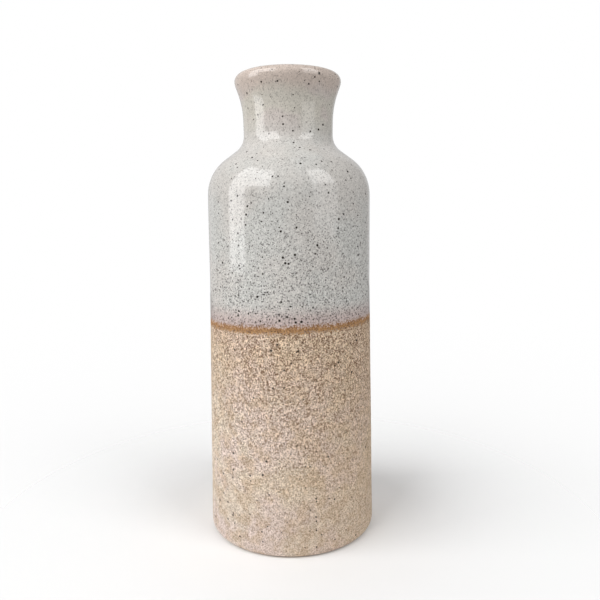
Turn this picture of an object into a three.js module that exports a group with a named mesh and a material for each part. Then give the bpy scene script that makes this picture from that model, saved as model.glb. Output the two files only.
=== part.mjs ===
// A stoneware bottle vase. Three clay sections are luted together with slip, and four fired
// coats cover them: a sandy slip low down, an iron band, a gloss glaze over the lip, and a liner.
// Millimetres, +Z up. The origin is the centre of the foot, on the surface the vase stands on.
import * as THREE from 'three';

// ---- Driving dimensions -------------------------------------------------------------------

const HEIGHT = 288;
const BASE_RADIUS = 54; // the widest place, just above the foot
const WAIST_RADIUS = 51.1;
const WAIST_HEIGHT = 160;
const SHOULDER_RADIUS = 50.8;
const SHOULDER_HEIGHT = 228.7;
const NECK_RADIUS = 27.6;
const NECK_BASE_HEIGHT = 245.8;
const NECK_TOP_RADIUS = 28;
const NECK_TOP_HEIGHT = 269.4;
const LIP_RADIUS = 34.8; // where the flare and the flat top would meet, before rounding

const BODY_WALL = 5.9;
const NECK_WALL = 5;
const FLOOR_HEIGHT = 8; // the finished floor inside, above the surface the vase stands on
const CROWN_RADIUS = 28.4; // on top of the lip, where outside becomes inside
const LIP_INNER_RADIUS = 25.8;

const FOOT_INNER_RADIUS = 41; // the foot ring is flat from here to the foot's rounding
const RECESS_RADIUS = 39.5;
const RECESS_DEPTH = 2.5;

const COAT = 0.6; // every fired coat, and how far the clay lies below the finished surface
const COAT_START = 1.2; // the sandy slip is wiped off below this height
const COAT_FULL_HEIGHT = 3.6; // and has its full thickness from here
const BAND_LOW = 135; // the iron band, between the sandy slip and the gloss glaze
const BAND_HIGH = 138.5;
const LINER_TOP = 280; // inside the neck, where the gloss glaze meets the liner

const BODY_SEAM = 168; // where the upper body is luted on the lower body
const NECK_SEAM = 254; // where the neck is luted on the upper body
const SLIP_THICKNESS = 0.8;
const GROOVE_DEPTH = 2.5; // of the V that keys each luted joint

const SEGMENTS = 32; // round the axis; a multiple of 4 keeps the widths along X and Y true

// ---- Materials ----------------------------------------------------------------------------

const CLAY = { color: 0xc4ab90, roughness: 0.9 };
const LUTING_SLIP = { color: 0xb59c82, roughness: 0.9 };
const SAND_SLIP = { color: 0xccb294, roughness: 0.95 };
const IRON_OXIDE = { color: 0xa9845c, roughness: 0.55 };
const GLOSS_GLAZE = { color: 0xcac6bf, roughness: 0.12 };
const LINER_GLAZE = { color: 0xd2cdc5, roughness: 0.18 };

// ---- Outlines -----------------------------------------------------------------------------
// An outline is a list of stations { r, z, nr, nz }: a point in the half plane, and the normal
// that points out of the clay. Inside and outside run the same way round, so they join up.

const corner = (r, z, round = 0, steps = 1) => ({ at: new THREE.Vector2(r, z), round, steps });

const OUTSIDE_CORNERS = [
  corner(FOOT_INNER_RADIUS, 0),
  corner(BASE_RADIUS, 0, 3.6, 3),
  corner(WAIST_RADIUS, WAIST_HEIGHT, 400, 1),
  corner(SHOULDER_RADIUS, SHOULDER_HEIGHT, 27, 5),
  corner(NECK_RADIUS, NECK_BASE_HEIGHT, 12, 4),
  corner(NECK_TOP_RADIUS, NECK_TOP_HEIGHT, 54, 3),
  corner(LIP_RADIUS, HEIGHT, 4.3, 5),
  corner(CROWN_RADIUS, HEIGHT),
];

const INSIDE_CORNERS = [
  corner(CROWN_RADIUS, HEIGHT),
  corner(LIP_INNER_RADIUS, HEIGHT, 3, 3),
  corner(NECK_TOP_RADIUS - NECK_WALL - 0.2, NECK_TOP_HEIGHT - 1.4, 58, 2),
  corner(NECK_RADIUS - NECK_WALL, NECK_BASE_HEIGHT - 3.2, 17, 4),
  corner(SHOULDER_RADIUS - BODY_WALL, SHOULDER_HEIGHT - 2.5, 21, 4),
  corner(WAIST_RADIUS - BODY_WALL, WAIST_HEIGHT, 400, 1),
  corner(BASE_RADIUS - BODY_WALL, FLOOR_HEIGHT, 10, 4),
  corner(0, FLOOR_HEIGHT),
];

const station = (point, tangent) => ({ r: point.x, z: point.y, nr: tangent.y, nz: -tangent.x });
const direction = (from, to) => to.at.clone().sub(from.at).normalize();

// The stations of the arc that rounds one corner, between the corners before and after it.
function arcStations(before, rounded, after) {
  const into = direction(before, rounded);
  const out = direction(rounded, after);
  const turn = Math.atan2(into.cross(out), into.dot(out)); // positive to the left
  const reach = rounded.round * Math.tan(Math.abs(turn) / 2);
  const start = rounded.at.clone().addScaledVector(into, -reach);
  const left = new THREE.Vector2(-into.y, into.x);
  const centre = start.clone().addScaledVector(left, Math.sign(turn) * rounded.round);
  const pole = new THREE.Vector2();
  return Array.from({ length: rounded.steps + 1 }, (_, k) => {
    const angle = (turn * k) / rounded.steps;
    return station(start.clone().rotateAround(centre, angle), into.clone().rotateAround(pole, angle));
  });
}

// Straight stretches between the corners, and an arc at each corner between the end ones.
function outlineThrough(corners) {
  const [first, second] = corners;
  const [nextToLast, last] = corners.slice(-2);
  const arcs = corners.slice(1, -1).flatMap((c, k) => arcStations(corners[k], c, corners[k + 2]));
  const begin = station(first.at, direction(first, second));
  const end = station(last.at, direction(nextToLast, last));
  return [begin, ...arcs, end];
}

function stationBetween(a, b, share) {
  const blend = (key) => a[key] + (b[key] - a[key]) * share;
  return { r: blend('r'), z: blend('z'), nr: blend('nr'), nz: blend('nz') };
}

// The same outline with a station at each height, so that all layers can share it.
function withHeights(outline, heights) {
  const added = outline.slice(1).map((next, k) => {
    const { z } = outline[k];
    const rise = next.z - z;
    const shares = heights.map((height) => (height - z) / rise);
    return shares
      .filter((share) => share > 0 && share < 1)
      .sort((a, b) => a - b)
      .map((share) => stationBetween(outline[k], next, share));
  });
  return outline.flatMap((s, k) => [s, ...(added[k] ?? [])]);
}

const SEAM_EDGES = [BODY_SEAM, NECK_SEAM].flatMap((seam) => [seam, seam + SLIP_THICKNESS]);
const COAT_EDGES = [COAT_START, BAND_LOW, BAND_HIGH];
const OUTSIDE = withHeights(outlineThrough(OUTSIDE_CORNERS), [...COAT_EDGES, ...SEAM_EDGES]);
const INSIDE = withHeights(outlineThrough(INSIDE_CORNERS), [LINER_TOP, ...SEAM_EDGES]);
const SKIN = [...OUTSIDE, ...INSIDE.slice(1)]; // both start or end on the crown

const indexAt = (outline, height) => outline.findIndex((s) => Math.abs(s.z - height) < 1e-6);
const outsideAt = (height) => indexAt(OUTSIDE, height);
const insideAt = (height) => OUTSIDE.length - 1 + indexAt(INSIDE, height);
const FLOOR_CENTRE = SKIN.length - 1;

const finishedPoint = (s) => new THREE.Vector2(s.r, s.z);

// The clay lies one coat below the finished surface, but nothing below it at the wiped foot.
function clayPoint(s) {
  const depth = COAT * Math.min(1, s.z / COAT_FULL_HEIGHT);
  return new THREE.Vector2(s.r - s.nr * depth, s.z - s.nz * depth);
}

// ---- Solids -------------------------------------------------------------------------------

// Turns a profile round the axis. The profile starts and ends on the axis, or is closed here,
// and it runs up the outside and down the inside.
function turned(name, profile, finish) {
  const onAxis = profile[0].x === 0 && profile.at(-1).x === 0;
  const loop = onAxis ? profile : [...profile, profile[0].clone()];
  const geometry = new THREE.LatheGeometry(loop, SEGMENTS).rotateX(Math.PI / 2);
  const mesh = new THREE.Mesh(geometry, new THREE.MeshStandardMaterial({ ...finish, metalness: 0 }));
  mesh.name = name;
  return mesh;
}

// A coat over a run of the skin: back along the clay, then out along the finished surface.
function coat(name, from, to, finish) {
  const run = SKIN.slice(from, to + 1);
  return turned(name, [...run.map(clayPoint).reverse(), ...run.map(finishedPoint)], finish);
}

const claySkin = (from, to) => SKIN.slice(from, to + 1).map(clayPoint);

// The V across the wall that keys a luted joint: outer edge, groove, inner edge.
function keyedEdge(height) {
  const outer = clayPoint(SKIN[outsideAt(height)]);
  const inner = clayPoint(SKIN[insideAt(height)]);
  const groove = outer.clone().lerp(inner, 0.5);
  groove.y -= GROOVE_DEPTH;
  return [outer, groove, inner];
}

const grooveAt = (height) => keyedEdge(height)[1];

// The thrown cylinder with its floor and turned foot ring.
function lowerBody() {
  const underside = [
    new THREE.Vector2(0, RECESS_DEPTH),
    new THREE.Vector2(RECESS_RADIUS, RECESS_DEPTH),
  ];
  const outside = claySkin(0, outsideAt(BODY_SEAM));
  const inside = claySkin(insideAt(BODY_SEAM), FLOOR_CENTRE);
  const profile = [...underside, ...outside, grooveAt(BODY_SEAM), ...inside];
  return turned('lower_body', profile, CLAY);
}

// The rest of the wall and the shoulder, between the two luted joints.
function upperBody() {
  const bottom = BODY_SEAM + SLIP_THICKNESS;
  const outside = claySkin(outsideAt(bottom), outsideAt(NECK_SEAM));
  const inside = claySkin(insideAt(NECK_SEAM), insideAt(bottom));
  return turned('upper_body', [...outside, grooveAt(NECK_SEAM), ...inside, grooveAt(bottom)], CLAY);
}

// The neck and its rolled lip, above the upper luted joint.
function neckAndLip() {
  const bottom = NECK_SEAM + SLIP_THICKNESS;
  const overLip = claySkin(outsideAt(bottom), insideAt(bottom));
  return turned('neck_and_lip', [...overLip, grooveAt(bottom)], CLAY);
}

// The slip that joins two sections.
function slipSeam(name, height) {
  const [lowerOuter, lowerGroove, lowerInner] = keyedEdge(height);
  const upper = keyedEdge(height + SLIP_THICKNESS);
  return turned(name, [lowerOuter, ...upper, lowerInner, lowerGroove], LUTING_SLIP);
}

// ---- Assembly -----------------------------------------------------------------------------

const vase = new THREE.Group();
vase.add(
  lowerBody(),
  slipSeam('body_seam_slip', BODY_SEAM),
  upperBody(),
  slipSeam('neck_seam_slip', NECK_SEAM),
  neckAndLip(),
  coat('sand_slip_coat', outsideAt(COAT_START), outsideAt(BAND_LOW), SAND_SLIP),
  coat('iron_band', outsideAt(BAND_LOW), outsideAt(BAND_HIGH), IRON_OXIDE),
  coat('gloss_glaze', outsideAt(BAND_HIGH), insideAt(LINER_TOP), GLOSS_GLAZE),
  coat('liner_glaze', insideAt(LINER_TOP), FLOOR_CENTRE, LINER_GLAZE),
);

export default vase;
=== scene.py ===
"""The looks of a stoneware bottle vase: a speckled gloss glaze over an iron line and a sandy slip.

Every piece is turned again at fine resolution on the CAD's own outline, and gets a node material.
"""
import math

import bpy
import numpy as np
from mathutils import Matrix, Vector, noise


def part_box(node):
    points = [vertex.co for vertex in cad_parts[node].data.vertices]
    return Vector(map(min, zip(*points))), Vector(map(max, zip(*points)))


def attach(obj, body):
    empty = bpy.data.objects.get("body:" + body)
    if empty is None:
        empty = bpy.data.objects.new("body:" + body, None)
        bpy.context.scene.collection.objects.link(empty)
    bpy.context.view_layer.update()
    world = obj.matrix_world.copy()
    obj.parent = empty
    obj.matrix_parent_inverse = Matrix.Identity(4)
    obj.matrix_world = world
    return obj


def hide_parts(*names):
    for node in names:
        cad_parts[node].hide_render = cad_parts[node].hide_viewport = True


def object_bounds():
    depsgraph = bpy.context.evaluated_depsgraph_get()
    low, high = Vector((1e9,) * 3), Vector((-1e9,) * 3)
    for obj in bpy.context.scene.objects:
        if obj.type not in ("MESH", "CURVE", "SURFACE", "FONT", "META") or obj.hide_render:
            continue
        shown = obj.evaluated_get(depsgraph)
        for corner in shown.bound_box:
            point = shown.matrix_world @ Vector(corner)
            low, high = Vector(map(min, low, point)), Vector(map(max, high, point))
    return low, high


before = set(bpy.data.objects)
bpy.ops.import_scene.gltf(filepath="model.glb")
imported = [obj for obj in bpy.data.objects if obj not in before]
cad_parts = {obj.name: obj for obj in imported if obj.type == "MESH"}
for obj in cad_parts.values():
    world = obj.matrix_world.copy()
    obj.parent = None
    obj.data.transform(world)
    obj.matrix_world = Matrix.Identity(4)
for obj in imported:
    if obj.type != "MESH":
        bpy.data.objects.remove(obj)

cad_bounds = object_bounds()

MM = 0.001

# ---- Sizes: the CAD's thicknesses, and heights from the CAD's parts in model.glb -------------

COAT = 0.6 * MM  # every fired coat
COAT_FULL_HEIGHT = 3.6 * MM  # below this height the coats thin out towards the foot
SLIP_THICKNESS = 0.8 * MM
GROOVE_DEPTH = 2.5 * MM  # of the V that keys each luted joint

WIDEST = cad_bounds[1].x
COAT_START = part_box("sand_slip_coat")[0].z
BAND_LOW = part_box("iron_band")[0].z
BAND_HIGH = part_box("iron_band")[1].z
BAND_MIDDLE = (BAND_LOW + BAND_HIGH) / 2
LINER_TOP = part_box("liner_glaze")[1].z
FLOOR_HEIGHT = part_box("liner_glaze")[0].z + COAT
BODY_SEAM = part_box("body_seam_slip")[1].z - SLIP_THICKNESS
NECK_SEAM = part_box("neck_seam_slip")[1].z - SLIP_THICKNESS

SEAMS = [
    ("body_seam", "body_seam_slip", BODY_SEAM),
    ("neck_seam", "neck_seam_slip", NECK_SEAM),
]

# The finished surface: radius, height and rounding of each corner, in millimetres, as in the CAD.
OUTSIDE_CORNERS = [
    (41.0, 0.0, 0.0),
    (54.0, 0.0, 3.6),
    (51.1, 160.0, 400.0),
    (50.8, 228.7, 27.0),
    (27.6, 245.8, 12.0),
    (28.0, 269.4, 54.0),
    (34.8, 288.0, 4.3),
    (28.4, 288.0, 0.0),
]
INSIDE_CORNERS = [
    (28.4, 288.0, 0.0),
    (25.8, 288.0, 3.0),
    (22.8, 268.0, 58.0),
    (22.6, 242.6, 17.0),
    (44.9, 226.2, 21.0),
    (45.2, 160.0, 400.0),
    (48.1, 8.0, 10.0),
    (0.0, 8.0, 0.0),
]

# The shallow recess under the foot, out to where the outside starts.
UNDERSIDE_CORNERS = [
    (0.0, 2.5, 0.0),
    (39.5, 2.5, 0.9),
    (41.0, 0.0, 0.0),
]

# ---- Outline --------------------------------------------------------------------------------

ARC_STEP = math.radians(1.5)
LINE_STEP = 0.25 * MM
SOFTENING = 1.2 * MM  # how far the fired surface rounds off a change of curvature
SOFTENING_REACH = 4  # the blur stops at this many times its width
FLAT_MARGIN = 0.05 * MM  # keeps a search by height off the flat foot and the flat floor


def rounded(corners):
    """A polyline through the corners, with an arc at each one that has a rounding."""
    line = [np.array(corners[0][:2])]
    for before, corner, after in zip(corners[:-2], corners[1:-1], corners[2:]):
        at = np.array(corner[:2])
        into = (at - before[:2]) / np.linalg.norm(at - before[:2])
        out = (np.array(after[:2]) - at) / np.linalg.norm(np.array(after[:2]) - at)
        turn = math.atan2(into[0] * out[1] - into[1] * out[0], into @ out)
        start = at - into * corner[2] * math.tan(abs(turn) / 2)
        left = np.array((-into[1], into[0])) * math.copysign(corner[2], turn)
        steps = max(2, round(abs(turn) / ARC_STEP))
        for angle in np.linspace(0, turn, steps + 1):
            c, s = math.cos(angle), math.sin(angle)
            # From the arc's centre to the line: -left, turned by the angle.
            spoke = np.array((left[1] * s - left[0] * c, -left[0] * s - left[1] * c))
            line.append(start + left + spoke)
    line.append(np.array(corners[-1][:2]))
    return np.array(line) * MM


class Skin:
    """The finished surface as one line in the half plane: up the outside, over the lip, down inside."""

    def __init__(self):
        line = np.vstack([rounded(OUTSIDE_CORNERS), rounded(INSIDE_CORNERS)[1:]])
        along = np.concatenate([[0], np.cumsum(np.linalg.norm(np.diff(line, axis=0), axis=1))])
        count = round(along[-1] / LINE_STEP) + 1
        self.s = np.linspace(0, along[-1], count)
        even = np.stack([np.interp(self.s, along, line[:, k]) for k in (0, 1)], axis=1)
        line = self.softened(even)
        self.r, self.z = line[:, 0], line[:, 1]
        tangent = np.gradient(line, axis=0)
        tangent /= np.linalg.norm(tangent, axis=1)[:, None]
        self.nr, self.nz = tangent[:, 1], -tangent[:, 0]
        self.crown = int(np.argmax(self.z))
        self.end = self.s[-1]

    @staticmethod
    def softened(line):
        """The line blurred along its length, with both ends kept in place."""
        reach = round(SOFTENING_REACH * SOFTENING / LINE_STEP)
        weights = np.exp(-0.5 * (np.arange(-reach, reach + 1) * LINE_STEP / SOFTENING) ** 2)
        weights /= weights.sum()
        before = 2 * line[0] - line[reach:0:-1]
        after = 2 * line[-1] - line[-2 : -reach - 2 : -1]
        padded = np.vstack([before, line, after])
        return np.stack([np.convolve(padded[:, k], weights, "valid") for k in (0, 1)], axis=1)

    def outside(self, height):
        """Where a height lies along the line, on the outside."""
        first = int(np.argmax(self.z > FLAT_MARGIN))
        return np.interp(height, self.z[first : self.crown], self.s[first : self.crown])

    def inside(self, height):
        """Where a height lies along the line, on the inside."""
        last = int(np.argmax(self.z[self.crown :] < FLOOR_HEIGHT + FLAT_MARGIN)) + self.crown
        down = slice(last, self.crown, -1)
        return np.interp(height, self.z[down], self.s[down])

    def at(self, s):
        """Radius, height and outward normal (along r, along z) at places along the line."""
        return [np.interp(s, self.s, values) for values in (self.r, self.z, self.nr, self.nz)]


skin = Skin()

# ---- Relief ---------------------------------------------------------------------------------

LINE_RAISE = 1.4 * MM  # the glaze line stands this much higher than the middle of the CAD's band
LINE_TILT = 1.13 * MM  # and this much higher still at +X, and lower at -X
LINE_WOBBLE = 0.5 * MM
LINE_WOBBLE_LENGTH = 22 * MM

SAND_FADE = (-2.5 * MM, 0.8 * MM)  # above the line: where the sand's relief ends in the glaze's
GRIT_LENGTH = 2.0 * MM  # from one raised grain of the sandy slip to the next
GRIT_HEIGHT = 0.09 * MM
FINER_GRIT = 1.7  # the second layer of grains is this many times finer,
FINER_GRIT_SHARE = 0.5  # and this much as high
GRIT_AT_FOOT = 0.5  # the share of its height that the grit has far below the line
GRIT_GROWS = (-110 * MM, -10 * MM)  # above the line: where it grows from that to its full height
WAVE_LENGTH = 26 * MM  # the slow unevenness of the whole fired surface
WAVE_HEIGHT = 0.1 * MM
GLAZE_WAVE_LENGTH = 8 * MM
GLAZE_WAVE_HEIGHT = 0.012 * MM
THROWING_PITCH = 9 * MM  # the spiral left by the potter's fingers inside
THROWING_HEIGHT = 0.3 * MM
THROWING_UNEVENNESS = 0.4


def noise_at(points, length, shift=0.0):
    """Smooth noise, about -1 to 1, with this distance between its lumps. A shift gives another one."""
    offset = Vector((shift, 0.37 * shift, -0.71 * shift))
    scaled = (points / length).reshape(-1, 3)
    values = [noise.noise(Vector(p) + offset) for p in scaled]
    return np.array(values).reshape(points.shape[:-1])


def smooth_step(value, low, high):
    """0 up to low, 1 from high."""
    t = np.clip((value - low) / (high - low), 0, 1)
    return t * t * (3 - 2 * t)


def line_shift(angle):
    """How far the glaze line lies above the middle of the CAD's band, round the vase."""
    ring = np.stack([np.cos(angle), np.sin(angle), np.zeros_like(angle)], axis=-1) * WIDEST
    wobble = noise_at(ring, LINE_WOBBLE_LENGTH, 3.1) * LINE_WOBBLE
    return LINE_RAISE + LINE_TILT * np.cos(angle) + wobble


def sand_share(above_line):
    """1 on the sandy slip, 0 on the glaze."""
    return 1 - smooth_step(above_line, *SAND_FADE)


# ---- Mesh building --------------------------------------------------------------------------

FINE_SEGMENTS = 448
CLAY_SEGMENTS = 224
SAND_SPACING = 0.75 * MM
BAND_SPACING = 0.5 * MM
GLAZE_SPACING = 1.25 * MM
LINER_SPACING = 1.5 * MM
UNDER_SPACING = 6 * MM
CLAY_SPACING = 3 * MM
SHARP_ANGLE = math.radians(40)  # a sharper edge than this isn't shaded smooth


def ring_angles(segments):
    return np.arange(segments) * 2 * math.pi / segments


def placed(r, z, segments):
    """Points at a radius and height, which may both change round the ring."""
    angle = ring_angles(segments)
    shape = np.broadcast_to(r, (*np.shape(r)[:-1], segments)).shape
    return np.stack(
        [
            np.broadcast_to(r * np.cos(angle), shape),
            np.broadcast_to(r * np.sin(angle), shape),
            np.broadcast_to(z, shape),
        ],
        axis=-1,
    )


def ring_mesh(name, rows, values=None, closed=True):
    """A mesh through rings of points. A ring on the axis becomes one point, and closes the mesh."""
    rows = np.asarray(rows)
    count, segments, _ = rows.shape
    start_pole = not closed and np.allclose(rows[0, :, :2], 0, atol=1e-9)
    end_pole = not closed and np.allclose(rows[-1, :, :2], 0, atol=1e-9)
    inner = rows[start_pole : count - end_pole]
    points = inner.reshape(-1, 3)
    index = np.arange(len(points)).reshape(len(inner), segments)
    upper = np.roll(index, -1, axis=0) if closed else index[1:]
    lower = index if closed else index[:-1]

    def right(rings):
        return np.roll(rings, -1, axis=1)

    faces = np.stack([lower, right(lower), right(upper), upper], axis=-1).reshape(-1, 4).tolist()
    if start_pole:
        points = np.vstack([points, rows[0, :1]])
        pole = len(points) - 1
        faces += [(pole, b, a) for a, b in zip(index[0], right(index)[0])]
    if end_pole:
        points = np.vstack([points, rows[-1, :1]])
        pole = len(points) - 1
        faces += [(a, b, pole) for a, b in zip(index[-1], right(index)[-1])]
    mesh = bpy.data.meshes.new(name)
    mesh.from_pydata(points.tolist(), [], faces)
    mesh.polygons.foreach_set("use_smooth", np.ones(len(mesh.polygons), bool))
    mesh.set_sharp_from_angle(angle=SHARP_ANGLE)
    for key, field in (values or {}).items():
        flat = np.asarray(field)[start_pole : count - end_pole].reshape(-1)
        flat = np.concatenate([flat, np.zeros(len(points) - len(flat))])
        mesh.attributes.new(key, "FLOAT", "POINT").data.foreach_set("value", flat)
    piece = bpy.data.objects.new(name, mesh)
    bpy.context.scene.collection.objects.link(piece)
    return piece


def outer_relief(points, height, above_line):
    """How far the fired surface stands proud of the outline, and how high each grain stands."""
    sandy = sand_share(above_line)
    grit = noise_at(points, GRIT_LENGTH)
    grit += FINER_GRIT_SHARE * noise_at(points, GRIT_LENGTH / FINER_GRIT, 5.0)
    near_line = GRIT_AT_FOOT + (1 - GRIT_AT_FOOT) * smooth_step(above_line, *GRIT_GROWS)
    wave = noise_at(points, WAVE_LENGTH, 8.0) * WAVE_HEIGHT
    fine = noise_at(points, GLAZE_WAVE_LENGTH, 12.0) * GLAZE_WAVE_HEIGHT
    off_foot = smooth_step(height, 0, COAT_FULL_HEIGHT)
    relief = (sandy * grit * GRIT_HEIGHT * near_line + wave) * off_foot + (1 - sandy) * fine
    return relief, grit * sandy


def liner_relief(points, height, above_line):
    """The spiral of throwing rings inside, which fades out on the floor and in the neck."""
    turn = np.arctan2(points[..., 1], points[..., 0]) / (2 * math.pi)
    uneven = 1 + THROWING_UNEVENNESS * noise_at(points, 3 * THROWING_PITCH, 21.0)
    fade = smooth_step(height, FLOOR_HEIGHT, 3 * FLOOR_HEIGHT)
    fade *= 1 - smooth_step(height, NECK_SEAM, LINER_TOP)
    spiral = np.sin(2 * math.pi * (height / THROWING_PITCH - turn))
    return spiral * uneven * fade * THROWING_HEIGHT, np.zeros_like(height)


def clay_at(s):
    """Radius and height of the clay's surface, which lies one coat below the finished one."""
    r, z, nr, nz = skin.at(s)
    depth = COAT * np.clip(z / COAT_FULL_HEIGHT, 0, 1)
    return r - nr * depth, z - nz * depth


def coat(name, start, end, segments, spacing, relief, closed=True):
    """A coat from start to end along the skin, both of which may change round the ring."""
    angle = ring_angles(segments)
    start, end = (np.broadcast_to(edge, segments) for edge in (start, end))
    length = float(np.max(end - start))

    def places(step):
        shares = np.linspace(0, 1, max(2, math.ceil(length / step)) + 1)[:, None]
        return start + (end - start) * shares

    r, z, nr, nz = skin.at(places(spacing))
    above_line = z - BAND_MIDDLE - line_shift(angle)
    proud, grit = relief(placed(r, z, segments), z, above_line)
    outer = placed(r + nr * proud, z + nz * proud, segments)
    inner = placed(*clay_at(places(UNDER_SPACING)[::-1]), segments)
    # A closed coat runs out along the finished side first; one that ends on the axis runs in last.
    sides = [outer, inner] if closed else [inner, outer]
    zeros = np.zeros(inner.shape[:2])
    fields = {
        key: np.vstack([field, zeros] if closed else [zeros, field])
        for key, field in (("above_line", above_line), ("grit", grit))
    }
    return ring_mesh(name, np.vstack(sides), fields, closed)


def turned(name, line, closed=True):
    """A line in the half plane, turned round the axis."""
    return ring_mesh(name, placed(line[:, :1], line[:, 1:], CLAY_SEGMENTS), closed=closed)


# ---- Materials ------------------------------------------------------------------------------


def linear(red, green, blue):
    """A linear colour from sRGB numbers out of 255."""
    parts = [c / 255 for c in (red, green, blue)]
    return tuple(c / 12.92 if c <= 0.04045 else ((c + 0.055) / 1.055) ** 2.4 for c in parts)


def grey(value):
    return (value, value, value)


# Roughness
MATT = 0.92
GLOSS = 0.08
LINER_GLOSS = 0.18
CLAY_ROUGHNESS = 0.88
SLIP_ROUGHNESS = 0.9
FLOOR_ROUGHNESS = 0.9

GRAIN_LENGTH = 0.6 * MM  # from one grain to the next, for colour and bump alike

# Bump: heights of surface that is too fine for the meshes
SAND_RELIEF = 0.25 * MM
GLAZE_RELIEF = 0.006 * MM
LINER_RELIEF = 0.01 * MM
TURNING_MARKS = 0.2 * MM
CLAY_RELIEF = 0.08 * MM
SLIP_RELIEF = 0.2 * MM

# And the distance from one of its lumps or marks to the next
LINER_LENGTH = 2 * MM
TURNING_MARKS_LENGTH = 1.3 * MM
CLAY_LENGTH = 0.8 * MM
SLIP_LENGTH = 1.5 * MM

# Blotches: the distance from one to the next
SAND_BLOTCH = 30 * MM
TAN_BLOTCH = 7 * MM
GLAZE_BLOTCH = 40 * MM
NECK_BLOTCH = 24 * MM
LIP_BLOTCH = 14 * MM
CLAY_BLOTCH = 14 * MM
SLIP_BLOTCH = 3 * MM

# The iron line's edges: how ragged they are, and where glaze and sand take over, above the line
RAGGED_LENGTH = 2.4 * MM
RAGGED_HEIGHT = 2.4 * MM
RAGGED_BY_GRAIN = 1.2 * MM
RAGGED_DROP = 2.5 * MM  # taken off again, because the two heights above only add
GLAZE_EDGE = (0.9 * MM, 3.2 * MM)
GLAZE_EDGE_BY_GRAIN = 1.6 * MM
SAND_EDGE = (-0.8 * MM, -1.8 * MM)
SAND_EDGE_BY_GRAIN = 2.0 * MM

# Specks: the size of the cells that hold one speck at most, and the radius of the largest
PITS = (1.5 * MM, 0.55 * MM)
GREY_DOTS = (1.6 * MM, 0.48 * MM)
IRON_IN_SAND = (3.6 * MM, 0.85 * MM)
IRON_IN_GLAZE = (3.0 * MM, 0.85 * MM)
IRON_IN_CLAY = (3.0 * MM, 0.5 * MM)
SMALLEST_SPECK = 0.45  # of the largest one's radius
SPECK_SKEW = 2.0  # above 1, most specks are small
SPECK_EDGE = (1.0, 0.75)  # of a speck's radius, over which it fades in

# Heights over which the sand changes
# where the painted shade at the foot fades: gone at the first height, full at the second
FOOT_SHADE_FADES = (50 * MM, 12 * MM)
SAND_WARMS = (60 * MM, 134 * MM)
GRAINS_STRENGTHEN = (0.0, 135 * MM)

# Heights over which the glaze changes, and distances above the line
NECK_TINT_STARTS = (244 * MM, 264 * MM)
LIP_TINT_STARTS = (270 * MM, 281 * MM)
LAVENDER_FADES = (15 * MM, 3 * MM)
SPECKLE_FADES = (110 * MM, 3 * MM)
SPECKS_THIN_OUT = (115 * MM, 45 * MM)

# Colours
SAND_PINK = linear(226, 207, 192)
SAND_CREAM = linear(225, 209, 186)
SAND_TAN = linear(204, 177, 144)
LINE_DARK = linear(130, 90, 56)
LINE_LIGHT = linear(198, 153, 104)
GLAZE_WHITE = linear(192, 191, 187)
GLAZE_WARM = linear(194, 190, 185)
GLAZE_GREEN = linear(192, 187, 177)
GLAZE_PINK = linear(193, 184, 178)
GLAZE_LIP = linear(196, 182, 172)
GLAZE_LAVENDER = linear(184, 168, 163)
IRON_SPECK = linear(44, 37, 32)
CLAY_DARK = linear(176, 150, 122)
CLAY_LIGHT = linear(190, 166, 140)
SLIP_DARK = linear(160, 135, 108)
SLIP_LIGHT = linear(172, 148, 120)
FLOOR_WHITE = grey(0.9)

# Colours that multiply the ground under them
# painted shade at the foot: darkens the sand's colour low down
PAINTED_FOOT_SHADE = (0.90, 0.91, 0.95)
# pale and dark grains; the grit's height also pushes towards them, as painted shade in hollows and
# painted light on raised grit
DARK_GRAIN = (0.24, 0.13, 0.06)
LIGHT_GRAIN = (1.58, 1.68, 1.86)
# painted shade in the sand's pits
PAINTED_PIT_SHADE = (0.26, 0.19, 0.14)
GREY_GRAIN = (0.22, 0.21, 0.21)
BRIGHT_GRAIN = grey(1.38)
GREY_DOT = (0.32, 0.31, 0.31)


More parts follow.
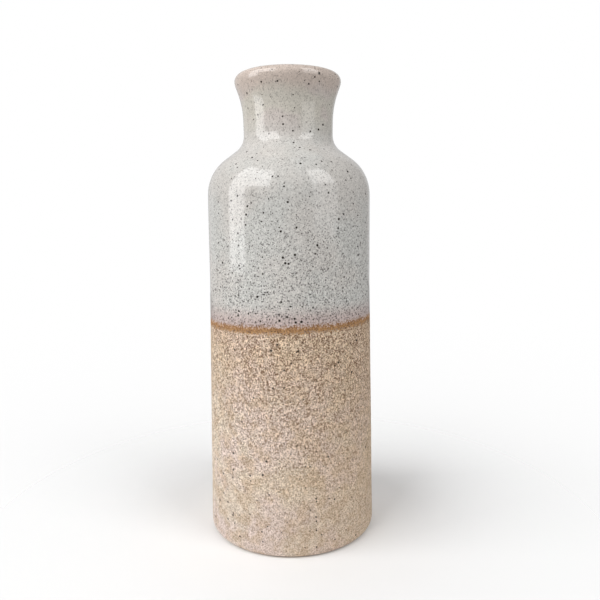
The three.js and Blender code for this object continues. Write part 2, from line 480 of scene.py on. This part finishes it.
class Nodes:
    """Builds one node tree. An input's value is a number, a colour or another node's output."""

    def __init__(self, owner):
        owner.use_nodes = True
        self.tree = owner.node_tree
        coordinates = self.add("ShaderNodeTexCoord")
        self.place = coordinates.outputs["Object"]
        self.direction = coordinates.outputs["Generated"]  # in a world, where the ray goes

    def add(self, kind, inputs=None, **settings):
        node = self.tree.nodes.new(kind)
        for key, value in settings.items():
            setattr(node, key, value)
        for key, value in (inputs or {}).items():
            self.give(node.inputs[key], value)
        return node

    def give(self, socket, value):
        if isinstance(value, bpy.types.NodeSocket):
            self.tree.links.new(value, socket)
        elif isinstance(value, tuple) and len(value) == 3 and socket.type == "RGBA":
            socket.default_value = (*value, 1)
        else:
            socket.default_value = value

    def noise(self, length, detail=2.0, roughness=0.5, place=None):
        inputs = {"Vector": place or self.place, "Scale": 1 / length, "Detail": detail}
        inputs["Roughness"] = roughness
        return self.add("ShaderNodeTexNoise", inputs).outputs["Fac"]

    def cells(self, length, place=None):
        inputs = {"Vector": place or self.place, "Scale": 1 / length}
        return self.add("ShaderNodeTexVoronoi", inputs)

    def attribute(self, name):
        return self.add("ShaderNodeAttribute", attribute_name=name).outputs["Fac"]

    def along(self, axis, vector=None):
        return self.add("ShaderNodeSeparateXYZ", {"Vector": vector or self.place}).outputs[axis]

    def line(self, value, slope, start):
        """value * slope + start"""
        inputs = {0: value, 1: slope, 2: start}
        return self.add("ShaderNodeMath", inputs, operation="MULTIPLY_ADD").outputs[0]

    def maths(self, operation, a, b=0.0):
        return self.add("ShaderNodeMath", {0: a, 1: b}, operation=operation).outputs[0]

    def step(self, value, low, high, to=(0.0, 1.0)):
        """A smooth step of the value: to[0] at low, to[1] at high."""
        inputs = {"Value": value, "From Min": low, "From Max": high, "To Min": to[0], "To Max": to[1]}
        return self.add("ShaderNodeMapRange", inputs, interpolation_type="SMOOTHSTEP").outputs["Result"]

    def mix(self, share, a, b, blend="MIX"):
        node = self.add("ShaderNodeMix", data_type="RGBA", blend_type=blend)
        colours = [s for s in node.inputs if s.type == "RGBA"]
        self.give(node.inputs[0], share)
        self.give(colours[0], a)
        self.give(colours[1], b)
        return next(s for s in node.outputs if s.type == "RGBA")

    def bump(self, height):
        """A normal from a height in metres."""
        return self.add("ShaderNodeBump", {"Height": height, "Distance": 1.0}).outputs["Normal"]


class MaterialNodes(Nodes):
    """The nodes of one new material."""

    def __init__(self, name):
        self.material = bpy.data.materials.new(name)
        super().__init__(self.material)
        self.surface = self.tree.nodes["Principled BSDF"]


def specks(n, kind, share):
    """1 inside scattered round dots. share is the part of all cells with a dot."""
    length, radius = kind
    cells = n.cells(length)
    chance = n.add("ShaderNodeSeparateColor", {"Color": cells.outputs["Color"]})
    skewed = n.maths("POWER", chance.outputs["Green"], SPECK_SKEW)
    largest = radius / length
    size = n.line(skewed, (1 - SMALLEST_SPECK) * largest, SMALLEST_SPECK * largest)
    inside = n.step(n.maths("DIVIDE", cells.outputs["Distance"], size), *SPECK_EDGE)
    return n.maths("MULTIPLY", inside, n.maths("LESS_THAN", chance.outputs["Red"], share))


def grains(n):
    """A tone from 0 to 1, at random for every grain, and how high the grain's surface stands."""
    cells = n.cells(GRAIN_LENGTH)
    chance = n.add("ShaderNodeSeparateColor", {"Color": cells.outputs["Color"]})
    return chance.outputs["Blue"], n.line(cells.outputs["Distance"], -1.0, chance.outputs["Blue"])


def sand_colour(n, tone):
    """Pale and dark grains over a mottled ground.

    The ground is tanner towards the line and towards +X, with painted shade at the foot. The grains have
    more contrast towards the line, painted shade in the grit's hollows and pits, and painted light on
    raised grit.
    """
    height = n.along("Z")
    strength = n.step(height, *GRAINS_STRENGTHEN, (0.47, 1.0))
    body = n.mix(n.step(n.noise(SAND_BLOTCH), 0.42, 0.58), SAND_PINK, SAND_CREAM)
    body = n.mix(n.step(n.noise(TAN_BLOTCH), 0.42, 0.62, (0.0, 0.55)), body, SAND_TAN)
    body = n.mix(n.step(height, *SAND_WARMS, (0.0, 0.6)), body, SAND_TAN)
    body = n.mix(n.step(n.along("X"), -WIDEST, WIDEST, (0.0, 0.6)), body, SAND_TAN)
    # Painted shade at the foot: the sand's colour is darker low down.
    body = n.mix(n.step(height, *FOOT_SHADE_FADES), body, PAINTED_FOOT_SHADE, "MULTIPLY")
    # Each grain's own random tone, shifted by the grit's height: painted shade in the relief's hollows,
    # painted light on its raised grit.
    tone_and_relief_shade = n.line(n.attribute("grit"), 0.16, tone)
    grain = n.mix(tone_and_relief_shade, DARK_GRAIN, LIGHT_GRAIN)
    body = n.mix(strength, body, n.mix(1.0, body, grain, "MULTIPLY"))
    # Painted shade: scattered pits in the sand are darkened as if shaded inside.
    pit_shade = n.maths("MULTIPLY", specks(n, PITS, 0.5), strength)
    body = n.mix(pit_shade, body, PAINTED_PIT_SHADE, "MULTIPLY")
    return n.mix(specks(n, IRON_IN_SAND, 0.45), body, IRON_SPECK)


def glaze_colour(n, above):
    """The glaze's ground: greyish white, tinted above the line and towards the lip."""
    height = n.along("Z")
    body = n.mix(n.step(n.noise(GLAZE_BLOTCH, 3.0), 0.4, 0.6), GLAZE_WHITE, GLAZE_WARM)
    neck = n.mix(n.step(n.noise(NECK_BLOTCH), 0.42, 0.58), GLAZE_GREEN, GLAZE_PINK)
    body = n.mix(n.step(height, *NECK_TINT_STARTS), body, neck)
    uneven = n.line(n.noise(LIP_BLOTCH, 3.0), 10 * MM, n.line(height, 1.0, -5 * MM))
    body = n.mix(n.step(uneven, *LIP_TINT_STARTS), body, GLAZE_LIP)
    return n.mix(n.step(above, *LAVENDER_FADES), body, GLAZE_LAVENDER)


def speckled(n, body, tone, above):
    """A glaze ground with its fine grey speckle, grey dots and scattered black specks."""
    strength = n.step(above, *SPECKLE_FADES, (0.40, 1.0))
    dark = n.maths("MULTIPLY", n.step(tone, 0.28, 0.0), strength)
    light = n.maths("MULTIPLY", n.step(tone, 0.45, 1.0), strength)
    body = n.mix(dark, body, GREY_GRAIN, "MULTIPLY")
    body = n.mix(light, body, BRIGHT_GRAIN, "MULTIPLY")
    dots = n.step(above, *SPECKS_THIN_OUT, (0.12, 0.4))
    body = n.mix(specks(n, GREY_DOTS, dots), body, GREY_DOT, "MULTIPLY")
    iron = n.step(above, *SPECKS_THIN_OUT, (0.42, 0.75))
    return n.mix(specks(n, IRON_IN_GLAZE, iron), body, IRON_SPECK)


def coat_material(name):
    """Sand, iron line or glaze by the height above the line. Fired together, they run together."""
    n = MaterialNodes(name)
    above = n.attribute("above_line")
    tone, stand = grains(n)
    by_grain = n.line(tone, RAGGED_BY_GRAIN, above)
    ragged = n.line(n.noise(RAGGED_LENGTH, 3.0, 0.6), RAGGED_HEIGHT, by_grain)
    ragged = n.line(ragged, 1.0, -RAGGED_DROP)
    glazed = n.step(n.line(tone, GLAZE_EDGE_BY_GRAIN, ragged), *GLAZE_EDGE)
    sandy = n.step(n.line(tone, SAND_EDGE_BY_GRAIN, ragged), *SAND_EDGE)
    brown = n.mix(tone, LINE_DARK, LINE_LIGHT)
    body = n.mix(glazed, brown, speckled(n, glaze_colour(n, above), tone, above))
    body = n.mix(sandy, body, sand_colour(n, tone))
    n.give(n.surface.inputs["Base Color"], body)
    n.give(n.surface.inputs["Roughness"], n.line(glazed, GLOSS - MATT, MATT))
    relief = n.maths("MULTIPLY", stand, n.line(glazed, GLAZE_RELIEF - SAND_RELIEF, SAND_RELIEF))
    n.give(n.surface.inputs["Normal"], n.bump(relief))
    return n.material


def liner_material():
    """The same glaze inside, less glossy."""
    n = MaterialNodes("liner_glaze")
    above = n.attribute("above_line")
    body = speckled(n, glaze_colour(n, above), grains(n)[0], above)
    n.give(n.surface.inputs["Base Color"], body)
    n.surface.inputs["Roughness"].default_value = LINER_GLOSS
    n.give(n.surface.inputs["Normal"], n.bump(n.maths("MULTIPLY", n.noise(LINER_LENGTH), LINER_RELIEF)))
    return n.material


def clay_material():
    """Bare fired clay with iron specks and fine turning marks round the axis."""
    n = MaterialNodes("bare_stoneware")
    body = n.mix(n.noise(CLAY_BLOTCH, 3.0), CLAY_DARK, CLAY_LIGHT)
    body = n.mix(specks(n, IRON_IN_CLAY, 0.35), body, IRON_SPECK)
    n.give(n.surface.inputs["Base Color"], body)
    n.surface.inputs["Roughness"].default_value = CLAY_ROUGHNESS
    across = n.add("ShaderNodeVectorMath", {0: n.place, 1: (1, 1, 0)}, operation="MULTIPLY")
    radius = n.add("ShaderNodeVectorMath", {0: across.outputs[0]}, operation="LENGTH").outputs["Value"]
    along_radius = n.add("ShaderNodeCombineXYZ", {"X": radius}).outputs[0]
    marks = n.noise(TURNING_MARKS_LENGTH, place=along_radius)
    grain = n.noise(CLAY_LENGTH, 3.0, 0.6)
    relief = n.line(marks, TURNING_MARKS, n.maths("MULTIPLY", grain, CLAY_RELIEF))
    n.give(n.surface.inputs["Normal"], n.bump(relief))
    return n.material


def slip_material():
    """The dried slip in the luted joints."""
    n = MaterialNodes("luting_slip")
    n.give(n.surface.inputs["Base Color"], n.mix(n.noise(SLIP_BLOTCH, 3.0), SLIP_DARK, SLIP_LIGHT))
    n.surface.inputs["Roughness"].default_value = SLIP_ROUGHNESS
    n.give(n.surface.inputs["Normal"], n.bump(n.maths("MULTIPLY", n.noise(SLIP_LENGTH), SLIP_RELIEF)))
    return n.material


# ---- Pieces ---------------------------------------------------------------------------------


def dressed(piece, node_name, material):
    """The piece stands for its CAD node, rides on the only body, and has its material."""
    piece.data.materials.append(material)
    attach(piece, "root")
    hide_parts(node_name)


def make_coats():
    shift = line_shift(ring_angles(FINE_SEGMENTS))
    foot = skin.outside(COAT_START)
    low = skin.outside(BAND_LOW + shift)
    high = skin.outside(BAND_HIGH + shift)
    liner_top = skin.inside(LINER_TOP)
    sand = coat("sandy_slip_coat", foot, low, FINE_SEGMENTS, SAND_SPACING, outer_relief)
    line = coat("iron_line", low, high, FINE_SEGMENTS, BAND_SPACING, outer_relief)
    glaze = coat("gloss_glaze_coat", high, liner_top, FINE_SEGMENTS, GLAZE_SPACING, outer_relief)
    liner = coat("inside_liner", liner_top, skin.end, CLAY_SEGMENTS, LINER_SPACING, liner_relief, False)
    dressed(sand, "sand_slip_coat", coat_material("sandy_slip"))
    dressed(line, "iron_band", coat_material("iron_line"))
    dressed(glaze, "gloss_glaze", coat_material("speckled_gloss_glaze"))
    dressed(liner, "liner_glaze", liner_material())


def clay_line(start, end):
    """The clay's surface from start to end along the skin."""
    s = np.linspace(start, end, math.ceil((end - start) / CLAY_SPACING) + 1)
    return np.stack(clay_at(s), axis=1)


def keyed_edge(height):
    """The V across the wall that keys a luted joint: outer edge, groove, inner edge."""
    outer, inner = (np.stack(clay_at(side(height))) for side in (skin.outside, skin.inside))
    groove = (outer + inner) / 2 - (0, GROOVE_DEPTH)
    return np.array([outer, groove, inner])


def make_clay():
    """The three thrown sections, under their coats. Only the foot shows."""
    clay = clay_material()
    body_top = BODY_SEAM + SLIP_THICKNESS
    neck_top = NECK_SEAM + SLIP_THICKNESS
    underside = rounded(UNDERSIDE_CORNERS)[:-1]
    outside = clay_line(0.0, skin.outside(BODY_SEAM))
    inside = clay_line(skin.inside(BODY_SEAM), skin.end)
    groove = keyed_edge(BODY_SEAM)[1:2]
    lower = turned("lower_clay", np.vstack([underside, outside, groove, inside]), closed=False)
    dressed(lower, "lower_body", clay)
    outside = clay_line(skin.outside(body_top), skin.outside(NECK_SEAM))
    inside = clay_line(skin.inside(NECK_SEAM), skin.inside(body_top))
    grooves = [keyed_edge(height)[1:2] for height in (NECK_SEAM, body_top)]
    upper = turned("upper_clay", np.vstack([outside, grooves[0], inside, grooves[1]]))
    dressed(upper, "upper_body", clay)
    over_lip = clay_line(skin.outside(neck_top), skin.inside(neck_top))
    neck = turned("neck_clay", np.vstack([over_lip, keyed_edge(neck_top)[1:2]]))
    dressed(neck, "neck_and_lip", clay)


def make_seams():
    slip = slip_material()
    for name, node_name, height in SEAMS:
        outer, groove, inner = keyed_edge(height)
        above = keyed_edge(height + SLIP_THICKNESS)
        piece = turned(name, np.vstack([outer, above, inner, groove]))
        dressed(piece, node_name, slip)


make_coats()
make_clay()
make_seams()

# ---- Camera, light and floor ------------------------------------------------------------------

CAMERA_PITCH = math.radians(8)
CAMERA_ROLL = math.radians(0.518)
CAMERA_LENS = 35.4  # millimetres, on a sensor this wide
CAMERA_SENSOR = 36
CAMERA_CLIP = 0.01
CAMERA_PLACE = Vector((6.4 * MM, -379.8 * MM, 201.6 * MM))


def make_camera():
    data = bpy.data.cameras.new("camera")
    data.lens = CAMERA_LENS
    data.sensor_width = CAMERA_SENSOR
    data.clip_start = CAMERA_CLIP
    camera = bpy.data.objects.new("camera", data)
    tilt = Matrix.Rotation(math.pi / 2 - CAMERA_PITCH, 4, "X")
    roll = Matrix.Rotation(-CAMERA_ROLL, 4, "Z")
    camera.matrix_world = Matrix.Translation(CAMERA_PLACE) @ tilt @ roll
    bpy.context.scene.collection.objects.link(camera)
    bpy.context.scene.camera = camera


LIGHT_DISTANCE = 1.25
WORLD_STRENGTH = 0.32  # lights the vase; a camera sees the brighter backdrop instead
WALL_GREY = 0.72  # what a camera sees above the horizon, except towards +Y, where it sees white
BACKDROP_EDGE = (0.0, 0.75)  # the ray's Y, from the grey walls to the white backdrop
HORIZON_EDGE = (0.12, -0.12)  # the ray's Z, from the grey walls to the white floor
FLOOR_RADIUS = 1.1
FLOOR_FADE_START = 0.08
FLOOR_VERTICES = 128
# name, azimuth from the camera towards its right in degrees, width, lower and upper edge, radiance
SOFTBOXES = [
    ("left_window", -74.5, 0.60, 0.07, 2.05, 3.9),
    ("high_left_softbox", -43, 0.75, 0.60, 2.05, 4.5),
    ("high_right_softbox", 52, 0.80, 0.72, 2.05, 3.9),
    ("low_right_softbox", 52, 0.80, 0.17, 0.72, 1.6),
    ("white_backdrop", -170, 2.40, 0.00, 2.05, 0.3),
]


def make_softbox(name, azimuth, width, bottom, top, radiance):
    """An upright panel of even light that faces the vase's axis."""
    height = top - bottom
    data = bpy.data.lights.new(name, "AREA")
    data.shape = "RECTANGLE"
    data.size, data.size_y = width, height
    data.energy = radiance * math.pi * width * height
    light = bpy.data.objects.new(name, data)
    a = math.radians(azimuth)
    away = Vector((math.sin(a), -math.cos(a), 0))
    light.location = away * LIGHT_DISTANCE + Vector((0, 0, bottom + height / 2))
    light.rotation_mode = "QUATERNION"
    light.rotation_quaternion = away.to_track_quat("Z", "Y")
    light.visible_camera = False
    bpy.context.scene.collection.objects.link(light)


def make_floor():
    """A pale round floor that fades out into the background's white."""
    bpy.ops.mesh.primitive_circle_add(
        vertices=FLOOR_VERTICES, radius=FLOOR_RADIUS, fill_type="NGON"
    )
    floor = bpy.context.object
    floor.name = "floor"
    n = MaterialNodes("pale_floor")
    n.surface.inputs["Base Color"].default_value = (*FLOOR_WHITE, 1)
    n.surface.inputs["Roughness"].default_value = FLOOR_ROUGHNESS
    radius = n.add("ShaderNodeVectorMath", {0: n.place}, operation="LENGTH").outputs["Value"]
    solid = n.step(n.maths("DIVIDE", 1.0, radius), 1 / FLOOR_RADIUS, 1 / FLOOR_FADE_START)
    clear = n.add("ShaderNodeBsdfTransparent").outputs["BSDF"]
    mixed = n.add("ShaderNodeMixShader", {0: solid, 1: clear, 2: n.surface.outputs["BSDF"]})
    n.give(n.tree.nodes["Material Output"].inputs["Surface"], mixed.outputs["Shader"])
    floor.data.materials.append(n.material)


def make_world():
    """Even light from all round. A camera sees a white floor, a white backdrop at +Y and grey walls."""
    world = bpy.data.worlds.new("studio")
    n = Nodes(world)
    backdrop = n.step(n.along("Y", n.direction), *BACKDROP_EDGE)
    below = n.step(n.along("Z", n.direction), *HORIZON_EDGE)
    seen = n.line(n.maths("MAXIMUM", backdrop, below), 1 - WALL_GREY, WALL_GREY)
    by_camera = n.add("ShaderNodeLightPath").outputs["Is Camera Ray"]
    background = n.tree.nodes["Background"].inputs
    n.give(background["Color"], grey(1.0))
    n.give(background["Strength"], n.line(by_camera, n.line(seen, 1.0, -WORLD_STRENGTH), WORLD_STRENGTH))
    bpy.context.scene.world = world


make_camera()
make_world()
make_floor()
for softbox in SOFTBOXES:
    make_softbox(*softbox)
bpy.context.scene.view_settings.view_transform = "Standard"
